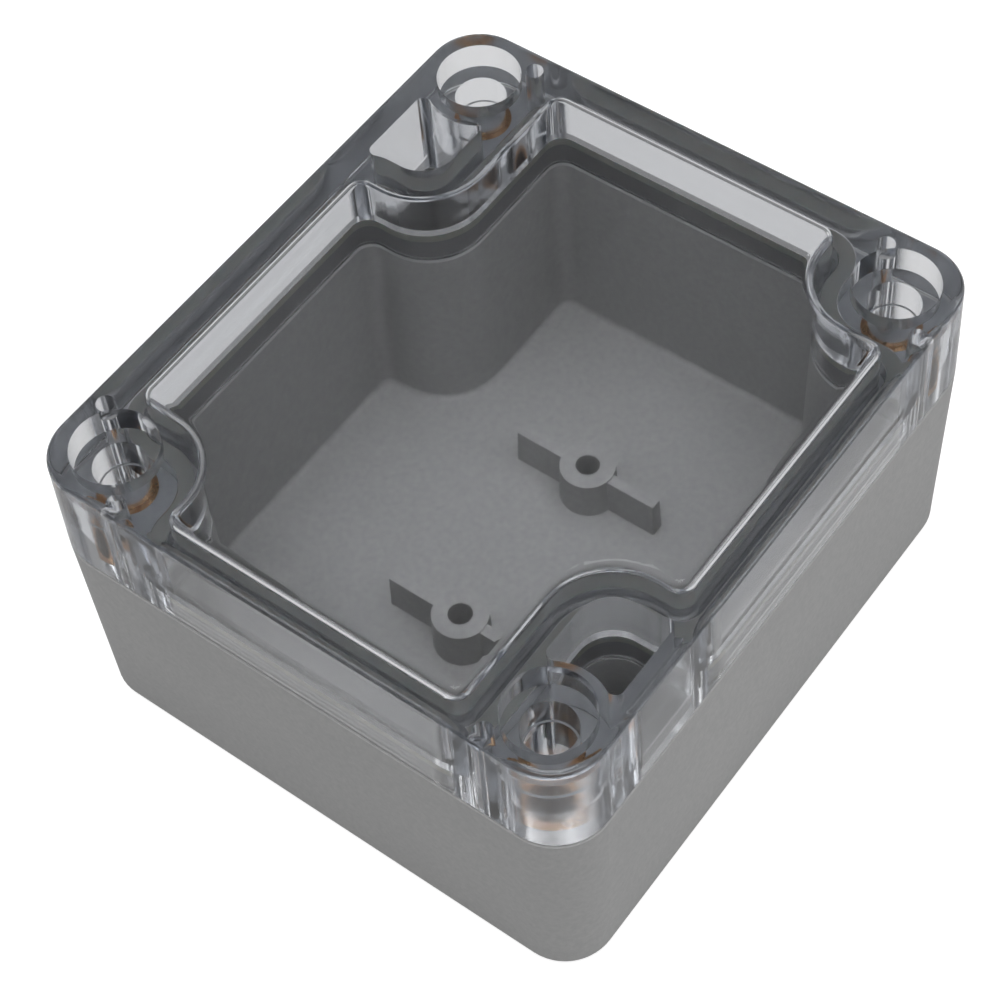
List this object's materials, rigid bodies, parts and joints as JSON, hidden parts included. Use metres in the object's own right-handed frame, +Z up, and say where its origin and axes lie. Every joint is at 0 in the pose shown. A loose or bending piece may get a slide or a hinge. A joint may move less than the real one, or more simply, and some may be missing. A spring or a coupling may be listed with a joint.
{
  "type": "sealed plastic enclosure",
  "caption": "Small sealed enclosure: grey moulded box, clear screw-down lid, tongue-and-groove seal, brass thread inserts and inner board standoffs.",
  "frame": {"origin": "centre of the underside of the box", "axes": "+Z up through the lid, X along the long side, -Y is the front"},
  "size_m": [0.0644, 0.058, 0.035],
  "materials": {
    "box_plastic": "fine spark-eroded texture, light grey moulded plastic",
    "lid_plastic": "polished clear polycarbonate",
    "seal_rubber": "pale silicone rubber",
    "insert_brass": "machined brass"
  },
  "bodies": {
    "box": {"base_box": "box_plastic", "insert_front_left": "insert_brass", "insert_front_right": "insert_brass", "insert_back_right": "insert_brass", "insert_back_left": "insert_brass"},
    "cover": {"lid": "lid_plastic", "seal": "seal_rubber"}
  },
  "joints": [
    {"name": "lid_lift", "type": "slide", "parent": "box", "child": "cover", "axis": [0, 0, 1], "range_m": [0, 0.05]}
  ]
}
